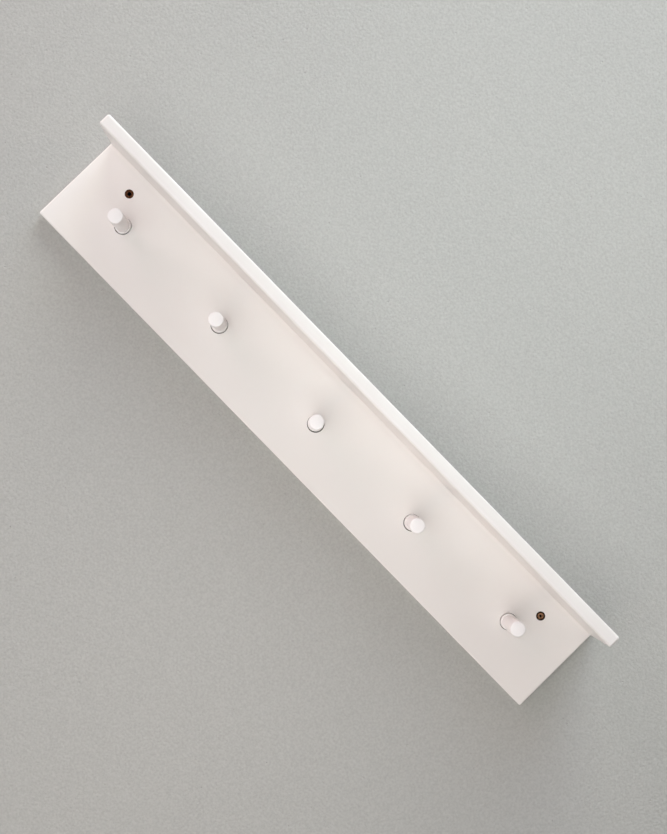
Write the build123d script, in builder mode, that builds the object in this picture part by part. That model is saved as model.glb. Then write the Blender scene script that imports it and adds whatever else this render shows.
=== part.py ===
from build123d import *
import os

# Wall shelf with a row of turned pegs on a flat rail.
# Millimetres. The origin is on the wall, midway between the two wall screws:
# +X runs along the rail, +Y points into the wall and +Z points up.

# Rail: the flat board on the wall
rail_length = 700.0
rail_thickness = 13.5
rail_above_screws = 36.0
rail_below_screws = 79.0
rail_edge_round = 1.5
rail_corner_round = 2.0

# Shelf: butts on the rail's front face, flush with its top and its ends
shelf_depth = 86.5
shelf_thickness = 13.5
shelf_edge_round = 2.5

# Pegs: turned, each standing in a round socket with a shadow gap round its base
peg_count = 5
peg_end_margin = 69.0
peg_height = 51.5
peg_projection = 58.0
peg_base_radius = 8.3
peg_base_height = 3.0
peg_neck_radius = 7.1
peg_head_radius = 7.6
peg_head_length = 30.0
peg_tip_bevel = 0.8
socket_depth = 5.0
socket_clearance = 0.6

# Wall screws: countersunk, with a smooth shank in the rail and their thread in the wall
wall_screw_inset = 50.0
wall_screw_head_radius = 4.4
wall_screw_shank_radius = 1.7
wall_screw_thread_radius = 2.25
wall_screw_thread_start = 1.0
wall_screw_length = 45.0
wall_screw_recess = 0.25
wall_screw_clearance = 0.25
countersink_angle = 90.0

# Dowels: glued in, through the rail into the pegs and blind from the rail into the shelf
peg_dowel_radius = 4.0
peg_dowel_length = 30.0
peg_dowel_sink = 0.5
shelf_dowel_radius = 3.0
shelf_dowel_length = 24.0
shelf_dowel_count = 6
shelf_dowel_inset = 45.0
shelf_dowel_cover = 4.0
dowel_end_gap = 0.5

# Play left between pieces that touch
fit_gap = 0.05

# Levels and planes that the pieces share
rail_top = rail_above_screws
rail_bottom = -rail_below_screws
shelf_underside = rail_top - shelf_thickness
shelf_middle = rail_top - shelf_thickness / 2
peg_level = rail_bottom + peg_height
socket_floor = rail_thickness - socket_depth
socket_radius = peg_base_radius + socket_clearance
peg_bore_radius = peg_dowel_radius + fit_gap
peg_bore_end = peg_dowel_sink + peg_dowel_length + dowel_end_gap
shelf_bore_radius = shelf_dowel_radius + fit_gap
shelf_dowel_back = shelf_dowel_cover + dowel_end_gap
shelf_bore_end = shelf_dowel_back + shelf_dowel_length + dowel_end_gap
front_face = Plane(origin=(0, -rail_thickness, 0), x_dir=(1, 0, 0), z_dir=(0, -1, 0))


def evenly_spaced(inset, count):
    """Places along the rail, the outer two this far in from its ends."""
    reach = rail_length / 2 - inset
    return [reach * (2 * step / (count - 1) - 1) for step in range(count)]


peg_places = evenly_spaced(peg_end_margin, peg_count)
wall_screw_places = evenly_spaced(wall_screw_inset, 2)
shelf_dowel_places = evenly_spaced(shelf_dowel_inset, shelf_dowel_count)


def finish(piece, name):
    """Name a finished piece and write it out."""
    piece.part.label = name
    export_step(piece.part, f"parts/{name}.step")


def make_rail():
    """Flat board: eased edges below the shelf, and every socket and hole in it."""
    with BuildPart() as rail:
        visible = shelf_underside - rail_bottom
        with BuildSketch(Plane.XY.offset(rail_bottom)):
            with Locations((0, -rail_thickness / 2)):
                Rectangle(rail_length, rail_thickness)
        extrude(amount=visible)
        lower_corners = rail.edges().filter_by(Axis.Y).group_by(Axis.Z)[0]
        fillet(lower_corners, rail_corner_round)
        front = rail.faces().sort_by(Axis.Y)[0]
        under_shelf = front.edges().sort_by(Axis.Z)[-1]
        fillet(front.edges() - [under_shelf], rail_edge_round)
        with BuildSketch(Plane.XY.offset(shelf_underside)):
            with Locations((0, -rail_thickness / 2)):
                Rectangle(rail_length, rail_thickness)
        extrude(amount=shelf_thickness)
        upper_corners = rail.edges().filter_by(Axis.Y).group_by(Axis.Z)[-1]
        fillet(upper_corners, shelf_edge_round)
        with Locations(front_face):
            with Locations(*[(x, peg_level) for x in peg_places]):
                Hole(socket_radius, socket_depth)
                Hole(peg_bore_radius)
            with Locations(*[(x, 0) for x in wall_screw_places]):
                CounterSinkHole(
                    wall_screw_thread_radius + wall_screw_clearance,
                    wall_screw_head_radius + wall_screw_recess + fit_gap,
                    counter_sink_angle=countersink_angle,
                )
            with Locations(*[(x, shelf_middle) for x in shelf_dowel_places]):
                Hole(shelf_bore_radius, rail_thickness - shelf_dowel_cover)
    finish(rail, "back_rail")


def make_shelf():
    """Plain board, rounded all round but for the edge that meets the rail."""
    with BuildPart() as shelf:
        with BuildSketch(Plane.XY.offset(shelf_underside)):
            with Locations((0, -rail_thickness - shelf_depth / 2)):
                Rectangle(rail_length, shelf_depth)
        extrude(amount=shelf_thickness)
        rear = shelf.faces().sort_by(Axis.Y)[-1]
        fillet(shelf.edges() - rear.edges(), shelf_edge_round)
        with Locations(Plane(origin=(0, -rail_thickness, 0), x_dir=(-1, 0, 0), z_dir=(0, 1, 0))):
            with Locations(*[(x, shelf_middle) for x in shelf_dowel_places]):
                Hole(shelf_bore_radius, shelf_bore_end - rail_thickness)
    finish(shelf, "shelf_board")


def make_peg(x, name):
    """Turned peg: base ring, neck and longer head with a bevelled tip, bored for its dowel."""
    base_top = socket_depth + peg_base_height
    tip = socket_depth + peg_projection
    heel = tip - peg_head_length
    foot = Plane(origin=(x, -socket_floor, peg_level), x_dir=(1, 0, 0), z_dir=(0, 0, -1))
    with BuildPart() as peg:
        with BuildSketch(foot):
            with BuildLine():
                Polyline(
                    (0, 0),
                    (peg_base_radius, 0),
                    (peg_base_radius, base_top),
                    (peg_neck_radius, base_top),
                    (peg_neck_radius, heel),
                    (peg_head_radius, heel),
                    (peg_head_radius, tip),
                    (0, tip),
                    close=True,
                )
            make_face()
        revolve(axis=Axis(foot.origin, foot.y_dir))
        chamfer(peg.edges().sort_by(Axis.Y)[0], peg_tip_bevel)
        with Locations(Plane(origin=foot.origin, x_dir=(-1, 0, 0), z_dir=(0, 1, 0))):
            Hole(peg_bore_radius, peg_bore_end - socket_floor)
    finish(peg, name)


def make_wall_screw(x, name):
    """Countersunk wood screw, its head just below the rail's face and its thread in the wall."""
    head_depth = wall_screw_recess - rail_thickness
    cone_foot = wall_screw_head_radius - wall_screw_shank_radius
    thread_start = wall_screw_thread_start - head_depth
    head = Plane(origin=(x, head_depth, 0), x_dir=(1, 0, 0), z_dir=(0, 0, 1))
    with BuildPart() as screw:
        with BuildSketch(head):
            with BuildLine():
                Polyline(
                    (0, 0),
                    (wall_screw_head_radius, 0),
                    (wall_screw_shank_radius, cone_foot),
                    (wall_screw_shank_radius, thread_start),
                    (wall_screw_thread_radius, thread_start),
                    (wall_screw_thread_radius, wall_screw_length),
                    (0, wall_screw_length),
                    close=True,
                )
            make_face()
        revolve(axis=Axis(head.origin, head.y_dir))
    finish(screw, name)


def make_dowel(x, z, back, radius, length, name):
    """Plain dowel that starts this far in from the wall and points into the room."""
    end = Plane(origin=(x, -back, z), x_dir=(1, 0, 0), z_dir=(0, -1, 0))
    with BuildPart() as dowel:
        with BuildSketch(end):
            Circle(radius)
        extrude(amount=length)
    finish(dowel, name)


os.makedirs("parts", exist_ok=True)
make_rail()
make_shelf()
for number, x in enumerate(peg_places, start=1):
    make_peg(x, f"peg_{number}")
    make_dowel(x, peg_level, peg_dowel_sink, peg_dowel_radius, peg_dowel_length, f"peg_dowel_{number}")
for number, x in enumerate(shelf_dowel_places, start=1):
    make_dowel(
        x, shelf_middle, shelf_dowel_back, shelf_dowel_radius, shelf_dowel_length, f"shelf_dowel_{number}"
    )
make_wall_screw(wall_screw_places[0], "wall_screw_left")
make_wall_screw(wall_screw_places[-1], "wall_screw_right")
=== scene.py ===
import math

import bpy
from mathutils import Matrix, Vector


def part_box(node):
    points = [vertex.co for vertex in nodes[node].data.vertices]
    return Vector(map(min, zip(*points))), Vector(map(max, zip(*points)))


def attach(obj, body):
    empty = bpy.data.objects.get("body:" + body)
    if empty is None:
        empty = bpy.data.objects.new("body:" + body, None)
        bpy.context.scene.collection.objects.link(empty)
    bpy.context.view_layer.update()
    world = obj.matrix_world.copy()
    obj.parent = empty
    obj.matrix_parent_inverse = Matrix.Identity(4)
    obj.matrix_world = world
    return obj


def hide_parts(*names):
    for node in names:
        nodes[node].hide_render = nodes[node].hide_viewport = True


# Wall shelf with a row of turned pegs on a flat rail, hung on a painted wall.
# Metres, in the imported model's frame: the rail's back lies on the wall at y = 0, +X runs
# along the rail, +Y points into the wall and +Z points up.

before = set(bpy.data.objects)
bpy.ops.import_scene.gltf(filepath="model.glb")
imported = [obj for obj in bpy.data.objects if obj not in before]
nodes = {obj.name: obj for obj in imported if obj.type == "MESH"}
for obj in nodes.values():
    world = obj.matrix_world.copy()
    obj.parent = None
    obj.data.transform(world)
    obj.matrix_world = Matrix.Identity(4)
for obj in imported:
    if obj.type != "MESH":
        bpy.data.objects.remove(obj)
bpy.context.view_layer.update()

# Pegs: how far each stands off the middle of its socket, along the rail and upwards
PEG_SEATS = {
    "peg_1": (-0.00007, 0.00028),
    "peg_2": (-0.00018, 0.00032),
    "peg_3": (-0.00035, 0.00045),
    "peg_4": (0.00010, 0.00039),
    "peg_5": (0.00010, 0.00011),
}

# Pegs: heights run from the foot, which stands on the floor of its socket
PEG_BASE_TOP = 0.0080
PEG_BASE_ROUND = 0.0006
PEG_NECK_RADIUS = 0.0071
PEG_WAIST_RADIUS = 0.0069
PEG_HEAD_RADIUS = 0.0076
PEG_HEAD_LENGTH = 0.0300
PEG_HEEL_ROUND = 0.0004
PEG_TIP_ROUND = 0.0011

# Bare wood in the rail, painted near-black as the shade inside the sockets and countersinks: how
# far from the axis of a peg or a screw it reaches, how far the lacquer runs in over the edges, and
# how near the back it begins again
SOCKET_REACH = 0.0092
COUNTERSINK_REACH = 0.0050
SOCKET_LIP = 0.0004
HOLE_LIP = 0.00003
BACK_SKIN = 0.0002

# Wall screws: turn in degrees, and radius of the well that the driver has worn in the recess
WALL_SCREWS = {"wall_screw_left": (20.0, 0.0022), "wall_screw_right": (62.0, 0.0013)}
SCREW_HEAD_ROUND = 0.00007
SCREW_NECK_ROUND = 0.0004
SCREW_SHANK_RADIUS = 0.0017
SCREW_POINT_LENGTH = 0.0060

# Threads of the wall screws: the main run, and a shorter one along the point, whose reach and
# taper are shares of the point's length and of the thread's radius
THREAD_GAP = 0.0010
THREAD_RUNOUT = 0.0008
THREAD_CORE_RADIUS = 0.0015
THREAD_CREST_RADIUS = 0.00225
THREAD_SINK = 0.0001
THREAD_TURNS = 13
THREAD_STEPS = 40
POINT_THREAD_TURNS = 3
POINT_THREAD_REACH = 0.85
POINT_THREAD_TAPER = 0.2

# Cross recess of the wall screws: two blades and the worn well, cut from just above the head;
# the tapers are shares of the width and the well's depth is a share of the blades'
RECESS_REACH = 0.0024
RECESS_BLADE = 0.0013
RECESS_DEPTH = 0.0026
RECESS_TAPER = 0.5
CUTTER_START = -0.0001
CUTTER_STEP = -0.00003
WELL_SIDES = 24
WELL_TAPER = 0.35
WELL_DEPTH = 1.15
WELL_TURN = math.radians(5)

# Painted shade on the wall screws, near-black in the recess and along the rim: how far out it
# reaches in the recess, where it lies along the rim and how much it covers there, how far these
# move for each metre to the right, and which depths count as recess, as shares of the recess's own
RECESS_SHADE_REACH = 0.0019
RIM_SHADE_START = 0.0034
RIM_SHADE_END = 0.0041
RIM_SHADE_COVER = 0.9
SHADE_SHIFT = 0.0023
SUNK_MIDDLE = 0.7
SUNK_RANGE = 0.62

# Turning
LATHE_RADIUS = 0.001
LATHE_SEGMENTS = 96
ROUND_STEPS = 6
SHARP_ANGLE = math.radians(32)
WELD = 0.000002

# Places taken from the solids
peg_boxes = {name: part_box(name) for name in PEG_SEATS}
screw_boxes = {name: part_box(name) for name in WALL_SCREWS}


def middle(box):
    """Centre of a box."""
    return (box[0] + box[1]) / 2


PEG_PITCH = middle(peg_boxes["peg_2"]).x - middle(peg_boxes["peg_1"]).x
PEG_LEVEL = middle(peg_boxes["peg_3"]).z
SCREW_REACH = middle(screw_boxes["wall_screw_right"]).x
SCREW_TOP = screw_boxes["wall_screw_right"][0].y
RAIL_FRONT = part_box("back_rail")[0].y


# ---------------------------------------------------------------- node helpers


def feed(tree, socket, value):
    """Join a socket to another, or give it a plain value."""
    if isinstance(value, bpy.types.NodeSocket):
        tree.links.new(value, socket)
    else:
        socket.default_value = value


def node(tree, kind, inputs=None, **settings):
    """Add a node with its settings and inputs, and return it."""
    made = tree.nodes.new(kind)
    for name, value in settings.items():
        setattr(made, name, value)
    for name, value in (inputs or {}).items():
        feed(tree, made.inputs[name], value)
    return made


def maths(tree, operation, *values):
    """Result of a Math node on these values."""
    made = node(tree, "ShaderNodeMath", operation=operation)
    for socket, value in zip(made.inputs, values):
        feed(tree, socket, value)
    return made.outputs[0]


def source(socket):
    """Socket that feeds this one."""
    return socket.links[0].from_socket


def vector(tree, x=0.0, y=0.0, z=0.0):
    """Vector made of three values or sockets."""
    return node(tree, "ShaderNodeCombineXYZ", {"X": x, "Y": y, "Z": z}).outputs[0]


# ---------------------------------------------------------------- finishes


def new_finish(name):
    """Material with an empty Principled shader: (material, tree, shader)."""
    material = bpy.data.materials.new(name)
    material.use_nodes = True
    tree = material.node_tree
    tree.nodes.clear()
    shader = node(tree, "ShaderNodeBsdfPrincipled")
    output = node(tree, "ShaderNodeOutputMaterial")
    tree.links.new(shader.outputs[0], output.inputs["Surface"])
    return material, tree, shader


def object_point(tree):
    """Place on the object, in metres."""
    return node(tree, "ShaderNodeTexCoord").outputs["Object"]


def stretched(tree, point, scale):
    """Place with each axis scaled, to draw a pattern out along the others."""
    return node(tree, "ShaderNodeMapping", {"Vector": point, "Scale": scale}).outputs[0]


def noise(tree, point, scale, detail=2.0, roughness=0.5):
    """Noise from 0 to 1 with this many cells to the metre."""
    inputs = {"Vector": point, "Scale": scale, "Detail": detail, "Roughness": roughness}
    return node(tree, "ShaderNodeTexNoise", inputs).outputs["Fac"]


def spread(tree, value, low, high, source_low=0.3, source_high=0.7):
    """Value moved from its usual range to another one."""
    inputs = {"Value": value, "From Min": source_low, "From Max": source_high}
    inputs.update({"To Min": low, "To Max": high})
    return node(tree, "ShaderNodeMapRange", inputs).outputs[0]


def blend(tree, factor, first, second, kind="MIX"):
    """Colour between two colours, or the first one changed by the second."""
    made = node(tree, "ShaderNodeMix", data_type="RGBA", blend_type=kind)
    feed(tree, made.inputs[0], factor)
    feed(tree, made.inputs[6], first)
    feed(tree, made.inputs[7], second)
    return made.outputs[2]


def bump(tree, height, distance, strength=1.0, under=None):
    """Bump normal of this height in metres, on top of another one."""
    inputs = {"Height": height, "Distance": distance, "Strength": strength}
    if under is not None:
        inputs["Normal"] = under
    return node(tree, "ShaderNodeBump", inputs).outputs[0]


def paint_skin(tree, shader, point, colours, under=None):
    """Sprayed satin lacquer: faint clouding, orange peel and uneven gloss."""
    clouds = noise(tree, point, 9.0, 3.0)
    feed(tree, shader.inputs["Base Color"], blend(tree, spread(tree, clouds, 0.0, 1.0), *colours))
    peel = noise(tree, point, 520.0, 2.0, 0.45)
    drift = noise(tree, point, 60.0, 2.0)
    normal = bump(tree, peel, 0.00002, 0.5, bump(tree, drift, 0.0001, 0.25, under))
    feed(tree, shader.inputs["Normal"], normal)
    gloss = spread(tree, noise(tree, point, 35.0, 3.0), 0.36, 0.46)
    feed(tree, shader.inputs["Roughness"], gloss)
    shader.inputs["IOR"].default_value = 1.5


BOARD_WHITES = ((0.811, 0.768, 0.745, 1.0), (0.830, 0.793, 0.774, 1.0))
PEG_WHITES = ((0.872, 0.832, 0.820, 1.0), (0.892, 0.855, 0.850, 1.0))
# Cut edges of the boards: painted shade that holds down the light on the shelf's front
CUT_EDGE_PAINTED_SHADE = (0.920, 0.920, 0.920, 1.0)
# Raw board inside the sockets and holes, darkened to near-black as painted shade
RAW_BOARD_IN_SHADE = (0.034, 0.020, 0.011, 1.0)


def lacquered_board(name, broad_axis):
    """Lacquered fibreboard: its cut edges are darkened as painted shade, which holds down the light
    on the shelf's front, and fine fibres show through there.

    The board's broad faces look along the given axis.
    """
    material, tree, shader = new_finish(name)
    point = object_point(tree)
    facing = node(tree, "ShaderNodeTexCoord").outputs["Normal"]
    across = node(tree, "ShaderNodeSeparateXYZ", {"Vector": facing}).outputs[broad_axis]
    cut = spread(tree, maths(tree, "ABSOLUTE", across), 1.0, 0.0, 0.4, 0.8)
    fibres = noise(tree, stretched(tree, point, (0.25, 1.0, 1.0)), 1500.0, 3.0, 0.6)
    fuzz = bump(tree, maths(tree, "MULTIPLY", fibres, cut), 0.00006, 0.4)
    paint_skin(tree, shader, point, BOARD_WHITES, fuzz)
    painted = source(shader.inputs["Base Color"])
    # Painted shade: the cut edges, such as the shelf's front, are darkened
    shaded = blend(tree, cut, painted, CUT_EDGE_PAINTED_SHADE, "MULTIPLY")
    feed(tree, shader.inputs["Base Color"], shaded)
    return material, tree, shader


def off_line(tree, across, along):
    """Distance from a line that runs into the wall."""
    offset = vector(tree, across, 0.0, along)
    return node(tree, "ShaderNodeVectorMath", {0: offset}, operation="LENGTH").outputs["Value"]


def near_line(tree, across, along, reach):
    """1 where a place is nearer than this to a line that runs into the wall."""
    return maths(tree, "LESS_THAN", off_line(tree, across, along), reach)


def bored_wood(tree):
    """1 on bare wood in the rail, which is painted near-black as the shade there: the sockets below
    the lacquer's edge, and the countersinks.
    """
    part = node(tree, "ShaderNodeSeparateXYZ", {"Vector": object_point(tree)}).outputs
    past_peg = maths(tree, "WRAP", part["X"], PEG_PITCH / 2, -PEG_PITCH / 2)
    above_pegs = maths(tree, "SUBTRACT", part["Z"], PEG_LEVEL)
    at_peg = near_line(tree, past_peg, above_pegs, SOCKET_REACH)
    in_socket = maths(tree, "GREATER_THAN", part["Y"], RAIL_FRONT + SOCKET_LIP)
    past_screw = maths(tree, "SUBTRACT", maths(tree, "ABSOLUTE", part["X"]), SCREW_REACH)
    at_screw = near_line(tree, past_screw, part["Z"], COUNTERSINK_REACH)
    in_hole = maths(tree, "GREATER_THAN", part["Y"], RAIL_FRONT + HOLE_LIP)
    socket = maths(tree, "MULTIPLY", at_peg, in_socket)
    hole = maths(tree, "MULTIPLY", at_screw, in_hole)
    clear_of_back = maths(tree, "LESS_THAN", part["Y"], -BACK_SKIN)
    return maths(tree, "MULTIPLY", clear_of_back, maths(tree, "MAXIMUM", socket, hole))


def rail_lacquer():
    """Lacquered fibreboard, raw and matt inside its sockets and holes, where the raw board is
    painted near-black as shade.
    """
    material, tree, shader = lacquered_board("rail_lacquer", "Y")
    bare = bored_wood(tree)
    painted = source(shader.inputs["Base Color"])
    # Painted shade: the bare wood in the sockets and countersinks is near-black
    feed(tree, shader.inputs["Base Color"], blend(tree, bare, painted, RAW_BOARD_IN_SHADE))
    gloss = source(shader.inputs["Roughness"])
    feed(tree, shader.inputs["Roughness"], maths(tree, "MAXIMUM", gloss, bare))
    return material


def shelf_lacquer():
    """Lacquered fibreboard, its broad faces level."""
    return lacquered_board("shelf_lacquer", "Z")[0]


def peg_lacquer():
    """Lacquered turned wood, with faint tool rings under the lacquer."""
    material, tree, shader = new_finish("peg_lacquer")
    point = object_point(tree)
    rings = noise(tree, stretched(tree, point, (0.06, 1.0, 0.06)), 1400.0, 2.0, 0.5)
    paint_skin(tree, shader, point, PEG_WHITES, bump(tree, rings, 0.00004, 0.35))
    return material


def screw_dirt(tree, point):
    """0 on plain plating of a wall screw, 1 where shade is painted near-black: in its drive recess
    and along its rim.

    The painted shade lies further in on the right screw: less of the recess, and more of the rim.
    """
    part = node(tree, "ShaderNodeSeparateXYZ", {"Vector": point}).outputs
    past_screw = maths(tree, "SUBTRACT", maths(tree, "ABSOLUTE", part["X"]), SCREW_REACH)
    out = maths(tree, "MULTIPLY_ADD", part["X"], SHADE_SHIFT, off_line(tree, past_screw, part["Z"]))
    inside = maths(tree, "LESS_THAN", out, RECESS_SHADE_REACH)
    sunk_middle = SCREW_TOP + RECESS_DEPTH * SUNK_MIDDLE
    sunk = maths(tree, "COMPARE", part["Y"], sunk_middle, RECESS_DEPTH * SUNK_RANGE)
    rim = spread(tree, out, 0.0, RIM_SHADE_COVER, RIM_SHADE_START, RIM_SHADE_END)
    return maths(tree, "MAXIMUM", rim, maths(tree, "MULTIPLY", inside, sunk))


# Painted sheen: the plating grows brighter for each metre to the right, so the right screw looks
# more lit
SHEEN_TILT = 0.35


def bronze():
    """Dark bronze plating on steel, brighter in worn patches and with painted sheen that grows to
    the right, most of all on the right screw; painted shade darkens its recess and rim.
    """
    material, tree, shader = new_finish("bronze_plating")
    point = object_point(tree)
    side = node(tree, "ShaderNodeSeparateXYZ", {"Vector": point}).outputs["X"]
    # Brighter to the right: painted sheen that makes the right screw look more lit; the noise gives
    # worn patches
    wear_and_sheen = maths(tree, "MULTIPLY_ADD", side, SHEEN_TILT, noise(tree, point, 700.0, 4.0, 0.6))
    dull = (0.070, 0.024, 0.011, 1.0)
    worn_and_sheen = (0.400, 0.210, 0.120, 1.0)
    plating = blend(tree, spread(tree, wear_and_sheen, 0.0, 1.0, 0.40, 0.72), dull, worn_and_sheen)
    # Near-black painted shade in the recess and along the rim of each screw
    recess_shade_colour = (0.006, 0.004, 0.003, 1.0)
    painted_shade = screw_dirt(tree, point)
    feed(tree, shader.inputs["Base Color"], blend(tree, painted_shade, plating, recess_shade_colour))
    gloss = spread(tree, noise(tree, point, 1500.0, 3.0), 0.34, 0.55)
    feed(tree, shader.inputs["Roughness"], maths(tree, "MAXIMUM", gloss, painted_shade))
    feed(tree, shader.inputs["Normal"], bump(tree, noise(tree, point, 2600.0, 3.0), 0.00004, 0.5))
    shader.inputs["Metallic"].default_value = 1.0
    return material


def beech():
    """Bare beech with its grain along the dowel."""
    material, tree, shader = new_finish("bare_beech")
    point = object_point(tree)
    along = stretched(tree, point, (1.0, 0.06, 1.0))
    grain = noise(tree, along, 900.0, 4.0, 0.6)
    light = (0.640, 0.440, 0.270, 1.0)
    dark = (0.430, 0.260, 0.140, 1.0)
    feed(tree, shader.inputs["Base Color"], blend(tree, spread(tree, grain, 0.0, 1.0), light, dark))
    feed(tree, shader.inputs["Normal"], bump(tree, grain, 0.0001, 0.6))
    shader.inputs["Roughness"].default_value = 0.7
    return material


def wall_paint():
    """Rolled matt wall paint with a fine grain and a few pits, seen from the room side only."""
    material, tree, shader = new_finish("wall_paint")
    point = object_point(tree)
    grain = noise(tree, point, 330.0, 3.0, 0.6)
    pits = node(tree, "ShaderNodeTexVoronoi", {"Vector": point, "Scale": 60.0}).outputs["Distance"]
    pit_depth = spread(tree, pits, 0.0, 1.0, 0.02, 0.07)
    relief = maths(tree, "ADD", grain, maths(tree, "MULTIPLY", pit_depth, 0.8))
    feed(tree, shader.inputs["Normal"], bump(tree, relief, 0.0014, 0.60))
    speckle = spread(tree, noise(tree, point, 420.0, 2.0, 0.5), 0.0, 0.8)
    clouding = maths(tree, "MULTIPLY_ADD", noise(tree, point, 3.0), 0.2, speckle)
    tones = ((0.385, 0.382, 0.364, 1.0), (0.458, 0.456, 0.434, 1.0))
    feed(tree, shader.inputs["Base Color"], blend(tree, clouding, *tones))
    shader.inputs["Roughness"].default_value = 0.85
    rear = node(tree, "ShaderNodeNewGeometry").outputs["Backfacing"]
    seen = node(tree, "ShaderNodeLightPath").outputs["Is Camera Ray"]
    behind = maths(tree, "MULTIPLY", rear, seen)
    clear = node(tree, "ShaderNodeBsdfTransparent").outputs[0]
    both = node(tree, "ShaderNodeMixShader", {0: behind, 1: shader.outputs[0], 2: clear})
    output = next(n for n in tree.nodes if n.type == "OUTPUT_MATERIAL")
    tree.links.new(both.outputs[0], output.inputs["Surface"])
    return material


def floor_paint():
    """Plain pale floor."""
    material, tree, shader = new_finish("floor_paint")
    point = object_point(tree)
    tones = ((0.560, 0.555, 0.540, 1.0), (0.600, 0.595, 0.580, 1.0))
    feed(tree, shader.inputs["Base Color"], blend(tree, noise(tree, point, 4.0, 4.0), *tones))
    feed(tree, shader.inputs["Normal"], bump(tree, noise(tree, point, 200.0), 0.0003, 0.3))
    shader.inputs["Roughness"].default_value = 0.6
    return material


# ---------------------------------------------------------------- turned pieces


def new_shape(name, sizes):
    """Geometry tree with a named input for each size: (tree, inputs by name)."""
    tree = bpy.data.node_groups.new(name, "GeometryNodeTree")
    for size in sizes:
        tree.interface.new_socket(size, in_out="INPUT", socket_type="NodeSocketFloat")
    tree.interface.new_socket("Place", in_out="INPUT", socket_type="NodeSocketVector")
    tree.interface.new_socket("Finish", in_out="INPUT", socket_type="NodeSocketMaterial")
    tree.interface.new_socket("Piece", in_out="OUTPUT", socket_type="NodeSocketGeometry")
    return tree, node(tree, "NodeGroupInput").outputs


def by_corner(tree, kind, values):
    """Field that gives each corner of an outline its own value."""
    switch = node(tree, "GeometryNodeIndexSwitch", data_type=kind)
    while len(switch.index_switch_items) < len(values):
        switch.index_switch_items.new()
    feed(tree, switch.inputs["Index"], node(tree, "GeometryNodeInputIndex").outputs[0])
    for place, value in enumerate(values):
        feed(tree, switch.inputs[str(place)], value)
    return switch.outputs[0]


def turned(tree, outline):
    """Turn an outline of (radius, height, rounding) corners round the Z axis."""
    corners = []
    for radius, height, _ in outline:
        out = maths(tree, "SUBTRACT", radius, LATHE_RADIUS)
        corners.append(vector(tree, out, maths(tree, "MULTIPLY", height, -1.0)))
    line = node(tree, "GeometryNodeMeshLine", {"Count": len(outline)}).outputs[0]
    place = by_corner(tree, "VECTOR", corners)
    shaped = node(tree, "GeometryNodeSetPosition", {"Geometry": line, "Position": place}).outputs[0]
    curve = node(tree, "GeometryNodeMeshToCurve", {"Mesh": shaped}).outputs[0]
    rounds = by_corner(tree, "FLOAT", [rounding for _, _, rounding in outline])
    inputs = {"Curve": curve, "Count": ROUND_STEPS, "Radius": rounds, "Limit Radius": True}
    eased = node(tree, "GeometryNodeFilletCurve", inputs, mode="POLY").outputs[0]
    inputs = {"Resolution": LATHE_SEGMENTS, "Radius": LATHE_RADIUS}
    path = node(tree, "GeometryNodeCurvePrimitiveCircle", inputs).outputs[0]
    inputs = {"Curve": path, "Profile Curve": eased}
    skin = node(tree, "GeometryNodeCurveToMesh", inputs).outputs[0]
    inputs = {"Geometry": skin, "Distance": WELD}
    welded = node(tree, "GeometryNodeMergeByDistance", inputs).outputs[0]
    return node(tree, "GeometryNodeFlipFaces", {"Mesh": welded}).outputs[0]


def end_shape(tree, shape, given, tip):
    """Tip a shape from the lathe's axis on to its own, put it in place and give it its finish."""
    inputs = {"Geometry": shape, "Translation": given["Place"], "Rotation": (tip, 0.0, 0.0)}
    placed = node(tree, "GeometryNodeTransform", inputs).outputs[0]
    real = node(tree, "GeometryNodeRealizeInstances", {"Geometry": placed}).outputs[0]
    smooth = node(tree, "GeometryNodeSetShadeSmooth", {"Geometry": real}).outputs[0]
    angle = node(tree, "GeometryNodeInputMeshEdgeAngle").outputs[0]
    inputs = {"Geometry": smooth, "Shade Smooth": False}
    inputs["Selection"] = maths(tree, "GREATER_THAN", angle, SHARP_ANGLE)
    creased = node(tree, "GeometryNodeSetShadeSmooth", inputs, domain="EDGE").outputs[0]
    inputs = {"Geometry": creased, "Material": given["Finish"]}
    finished = node(tree, "GeometryNodeSetMaterial", inputs).outputs[0]
    node(tree, "NodeGroupOutput", {"Piece": finished})


def grow(tree, name, sizes, replaced):
    """Make a piece from a tree and these sizes, as a plain mesh that stands for a solid."""
    piece = bpy.data.objects.new(name, bpy.data.meshes.new(name))
    bpy.context.scene.collection.objects.link(piece)
    modifier = piece.modifiers.new(tree.name, "NODES")
    modifier.node_group = tree
    for item in tree.interface.items_tree:
        if item.in_out == "INPUT":
            modifier[item.identifier] = sizes[item.name]
    graph = bpy.context.evaluated_depsgraph_get()
    mesh = bpy.data.meshes.new_from_object(piece.evaluated_get(graph))
    piece.modifiers.remove(modifier)
    mesh.name = name
    while mesh.materials[0] is None:
        mesh.materials.pop(index=0)
    piece.data = mesh
    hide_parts(replaced)
    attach(piece, "root")


def peg_shape():
    """Tree for a turned peg: base ring, waisted neck and longer head with a rounded tip."""
    sizes = ["Base radius", "Base top", "Base round", "Neck radius", "Waist radius"]
    sizes += ["Heel", "Heel round", "Head radius", "Tip", "Tip round"]
    tree, given = new_shape("turned_peg", sizes)
    waist = maths(tree, "MULTIPLY", maths(tree, "ADD", given["Base top"], given["Heel"]), 0.5)
    outline = [
        (0.0, 0.0, 0.0),
        (given["Base radius"], 0.0, 0.0),
        (given["Base radius"], given["Base top"], given["Base round"]),
        (given["Neck radius"], given["Base top"], 0.0),
        (given["Waist radius"], waist, 1.0),
        (given["Neck radius"], given["Heel"], 0.0),
        (given["Head radius"], given["Heel"], given["Heel round"]),
        (given["Head radius"], given["Tip"], given["Tip round"]),
        (0.0, given["Tip"], 0.0),
    ]
    end_shape(tree, turned(tree, outline), given, math.pi / 2)
    return tree


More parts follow.
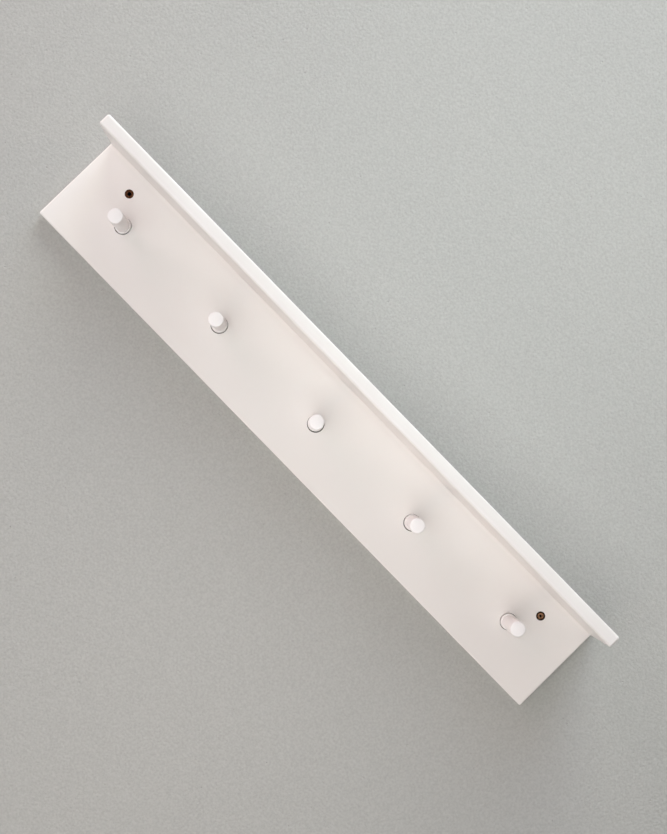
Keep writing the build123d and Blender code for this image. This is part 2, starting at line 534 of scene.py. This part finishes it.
def make_pegs(finish):
    """The row of turned pegs."""
    tree = peg_shape()
    for number, (name, (along, up)) in enumerate(PEG_SEATS.items(), start=1):
        low, high = peg_boxes[name]
        centre = middle((low, high))
        tip = high.y - low.y
        sizes = {
            "Base radius": (high.x - low.x) / 2,
            "Base top": PEG_BASE_TOP,
            "Base round": PEG_BASE_ROUND,
            "Neck radius": PEG_NECK_RADIUS,
            "Waist radius": PEG_WAIST_RADIUS,
            "Heel": tip - PEG_HEAD_LENGTH,
            "Heel round": PEG_HEEL_ROUND,
            "Head radius": PEG_HEAD_RADIUS,
            "Tip": tip,
            "Tip round": PEG_TIP_ROUND,
            "Place": (centre.x + along, high.y, centre.z + up),
            "Finish": finish,
        }
        grow(tree, f"turned_peg_{number}", sizes, name)


# ---------------------------------------------------------------- wall screws


def moved(tree, shape, translation=(0.0, 0.0, 0.0), rotation=(0.0, 0.0, 0.0), thickness=1.0):
    """Shape moved, turned and made thinner across its Y axis."""
    inputs = {"Geometry": shape, "Translation": translation, "Rotation": rotation}
    inputs["Scale"] = (1.0, thickness, 1.0)
    return node(tree, "GeometryNodeTransform", inputs).outputs[0]


def recess_cutters(tree, well_radius):
    """Two crossed tapering blades and a round well, each standing a little more out of the head."""
    inputs = {"Vertices": 4, "Radius Bottom": RECESS_REACH, "Depth": RECESS_DEPTH}
    inputs["Radius Top"] = RECESS_REACH * RECESS_TAPER
    spike = node(tree, "GeometryNodeMeshCone", inputs, fill_type="NGON").outputs[0]
    blade = moved(tree, spike, (0.0, 0.0, CUTTER_START), thickness=RECESS_BLADE / RECESS_REACH)
    crossing = moved(tree, blade, (0.0, 0.0, CUTTER_STEP), (0.0, 0.0, math.pi / 2))
    inputs = {"Vertices": WELL_SIDES, "Radius Bottom": well_radius}
    inputs["Radius Top"] = maths(tree, "MULTIPLY", well_radius, WELL_TAPER)
    inputs["Depth"] = RECESS_DEPTH * WELL_DEPTH
    cone = node(tree, "GeometryNodeMeshCone", inputs, fill_type="NGON").outputs[0]
    well = moved(tree, cone, (0.0, 0.0, CUTTER_START + CUTTER_STEP * 2), (0.0, 0.0, WELL_TURN))
    return [blade, crossing, well]


def thread(tree, start, height, turns, end_share):
    """One run of the thread, a three-sided ridge that is drawn in to a share of its radius."""
    # A triangle stands one and a half times its own radius high
    ridge = (THREAD_CREST_RADIUS - THREAD_CORE_RADIUS + THREAD_SINK) / 1.5
    centre = THREAD_CREST_RADIUS - ridge
    inputs = {"Resolution": THREAD_STEPS, "Rotations": turns, "Height": height}
    inputs.update({"Start Radius": centre, "End Radius": centre * end_share})
    helix = node(tree, "GeometryNodeCurveSpiral", inputs).outputs[0]
    inputs = {"Resolution": 3, "Radius": ridge}
    section = node(tree, "GeometryNodeCurvePrimitiveCircle", inputs).outputs[0]
    inputs = {"Curve": helix, "Profile Curve": section, "Fill Caps": True}
    run = node(tree, "GeometryNodeCurveToMesh", inputs).outputs[0]
    return moved(tree, run, vector(tree, z=start))


def screw_shape():
    """Tree for a countersunk wood screw with a cross recess."""
    sizes = ["Head radius", "Length", "Thread start", "Turn", "Well radius"]
    tree, given = new_shape("wood_screw", sizes)
    smooth_end = given["Thread start"]
    point = maths(tree, "SUBTRACT", given["Length"], SCREW_POINT_LENGTH)
    cone_foot = maths(tree, "SUBTRACT", given["Head radius"], SCREW_SHANK_RADIUS)
    outline = [
        (0.0, 0.0, 0.0),
        (given["Head radius"], 0.0, SCREW_HEAD_ROUND),
        (SCREW_SHANK_RADIUS, cone_foot, SCREW_NECK_ROUND),
        (SCREW_SHANK_RADIUS, smooth_end, 0.0),
        (THREAD_CORE_RADIUS, maths(tree, "ADD", smooth_end, THREAD_RUNOUT), 0.0),
        (THREAD_CORE_RADIUS, point, 0.0),
        (0.0, given["Length"], 0.0),
    ]
    body = turned(tree, outline)
    cut = {"operation": "DIFFERENCE", "solver": "MANIFOLD"}
    for cutter in recess_cutters(tree, given["Well radius"]):
        meshes = {"Mesh 1": body, "Mesh 2": cutter}
        body = node(tree, "GeometryNodeMeshBoolean", meshes, **cut).outputs[0]
    run = maths(tree, "SUBTRACT", point, smooth_end)
    main_thread = thread(tree, smooth_end, run, THREAD_TURNS, 1.0)
    point_run = SCREW_POINT_LENGTH * POINT_THREAD_REACH
    point_thread = thread(tree, point, point_run, POINT_THREAD_TURNS, POINT_THREAD_TAPER)
    whole = node(tree, "GeometryNodeJoinGeometry")
    for part in (body, main_thread, point_thread):
        tree.links.new(part, whole.inputs[0])
    spun = moved(tree, whole.outputs[0], rotation=vector(tree, 0.0, 0.0, given["Turn"]))
    end_shape(tree, spun, given, -math.pi / 2)
    return tree


def make_wall_screws(finish):
    """The two screws that hold the rail on the wall."""
    tree = screw_shape()
    for name, (turn, well_radius) in WALL_SCREWS.items():
        low, high = screw_boxes[name]
        centre = middle((low, high))
        sizes = {
            "Head radius": (high.x - low.x) / 2,
            "Length": high.y - low.y,
            "Thread start": THREAD_GAP - low.y,
            "Turn": math.radians(turn),
            "Well radius": well_radius,
            "Place": (centre.x, low.y, centre.z),
            "Finish": finish,
        }
        grow(tree, name.replace("wall_screw", "bronze_screw"), sizes, name)


# ---------------------------------------------------------------- boards and dowels


def dress(name, finish):
    """Give a solid its finish."""
    nodes[name].material_slots[0].material = finish


def dress_solids():
    """Finishes of the solids that show as they are."""
    dress("back_rail", rail_lacquer())
    dress("shelf_board", shelf_lacquer())
    bare = beech()
    for name in sorted(nodes):
        if "dowel" in name:
            dress(name, bare)


# ---------------------------------------------------------------- room


# Room: the wall's face lies just in front of the dowels' rear ends
WALL_FACE = -0.0006
ROOM_REACH = 3.0
WALL_TOP = 1.8
FLOOR_LEVEL = -1.1
FLOOR_FRONT = -4.5
FLOOR_BACK = 1.5


def sheet_of(name, corners, finish):
    """Flat stage piece with these corners, anticlockwise as seen from its face."""
    mesh = bpy.data.meshes.new(name)
    mesh.from_pydata(corners, [], [range(len(corners))])
    mesh.materials.append(finish)
    piece = bpy.data.objects.new(name, mesh)
    bpy.context.scene.collection.objects.link(piece)


def make_room():
    """Painted wall, and a pale floor below it that runs on behind the wall."""
    left, right = -ROOM_REACH, ROOM_REACH
    wall = [(left, FLOOR_LEVEL), (right, FLOOR_LEVEL), (right, WALL_TOP), (left, WALL_TOP)]
    floor = [(left, FLOOR_FRONT), (right, FLOOR_FRONT), (right, FLOOR_BACK), (left, FLOOR_BACK)]
    sheet_of("room_wall", [(x, WALL_FACE, z) for x, z in wall], wall_paint())
    sheet_of("room_floor", [(x, y, FLOOR_LEVEL) for x, y in floor], floor_paint())


def aim(place, target):
    """Matrix of a lamp at a place that shines on a target."""
    turn = (Vector(target) - Vector(place)).to_track_quat("-Z", "Y")
    return Matrix.Translation(place) @ turn.to_matrix().to_4x4()


# Lamps: place, width and watts of red, green and blue, all aimed at the origin
LAMPS = {
    "window_lamp": ((-1.6, -0.9, 2.4), 1.2, (42.0, 43.5, 37.5)),
    "upper_lamp": ((-0.6, -1.2, 2.2), 1.2, (22.0, 26.0, 32.0)),
    "side_lamp": ((0.9, -1.0, 1.4), 0.9, (6.0, 5.5, 5.0)),
    "left_lamp": ((-2.5, -1.1, 0.2), 1.6, (27.5, 22.0, 23.0)),
    "low_lamp": ((0.0, -1.5, -1.0), 2.0, (26.5, 26.5, 26.0)),
    "rear_lamp": ((0.9, 1.6, 1.2), 1.2, (34.0, 34.0, 33.0)),
}
SKY_COLOUR = (0.119, 0.113, 0.109, 1.0)

# Lamps behind a grid: place, width, watts, what they are aimed at and their spread in degrees
GRID_LAMPS = {
    "wall_lamp": ((0.0, -2.6, 0.2), 0.5, (0.26, 0.31, 0.30), (0.0, 0.0, 0.30), 26.0),
    "shelf_lamp": ((0.12, -0.45, -1.0), 0.4, (0.20, 0.165, 0.145), (0.12, -0.05, 0.0), 50.0),
}


def make_lamp(name, place, width, watts, target=(0.0, 0.0, 0.0), grid=180.0):
    """Square soft lamp that isn't seen itself, its spread in degrees narrowed by any grid."""
    light = bpy.data.lights.new(name, "AREA")
    light.shape = "SQUARE"
    light.size = width
    light.spread = math.radians(grid)
    light.energy = max(watts)
    light.color = [part / max(watts) for part in watts]
    hung = bpy.data.objects.new(name, light)
    hung.matrix_world = aim(place, target)
    hung.visible_camera = False
    bpy.context.scene.collection.objects.link(hung)


def light_room():
    """Soft daylight from above and the left, with an even fill and a lamp behind the wall."""
    for name, settings in {**LAMPS, **GRID_LAMPS}.items():
        make_lamp(name, *settings)
    world = bpy.data.worlds.new("soft_sky")
    world.use_nodes = True
    background = world.node_tree.nodes["Background"]
    background.inputs["Color"].default_value = SKY_COLOUR
    background.inputs["Strength"].default_value = 1.0
    bpy.context.scene.world = world
    bpy.context.scene.view_settings.view_transform = "Standard"


# ---------------------------------------------------------------- camera

CAMERA_PLACE = Vector((0.0047, -1.3656, -0.0592))
CAMERA_ROLL = math.radians(45.71)
CAMERA_PAN = math.radians(-1.59)
CAMERA_TILT = math.radians(1.38)
CAMERA_LENS = 57.38


def make_camera():
    """Camera almost square to the wall and rolled, so that the rail slopes down to the right."""
    data = bpy.data.cameras.new("room_camera")
    data.lens = CAMERA_LENS
    camera = bpy.data.objects.new("room_camera", data)
    right = Vector((math.cos(CAMERA_ROLL), 0.0, math.sin(CAMERA_ROLL)))
    up = Vector((-math.sin(CAMERA_ROLL), 0.0, math.cos(CAMERA_ROLL)))
    square = Matrix((right, up, right.cross(up))).transposed().to_4x4()
    pan = Matrix.Rotation(CAMERA_PAN, 4, "Y")
    tilt = Matrix.Rotation(CAMERA_TILT, 4, "X")
    camera.matrix_world = Matrix.Translation(CAMERA_PLACE) @ square @ pan @ tilt
    bpy.context.scene.collection.objects.link(camera)
    bpy.context.scene.camera = camera


make_camera()
make_room()
light_room()
dress_solids()
make_pegs(peg_lacquer())
make_wall_screws(bronze())
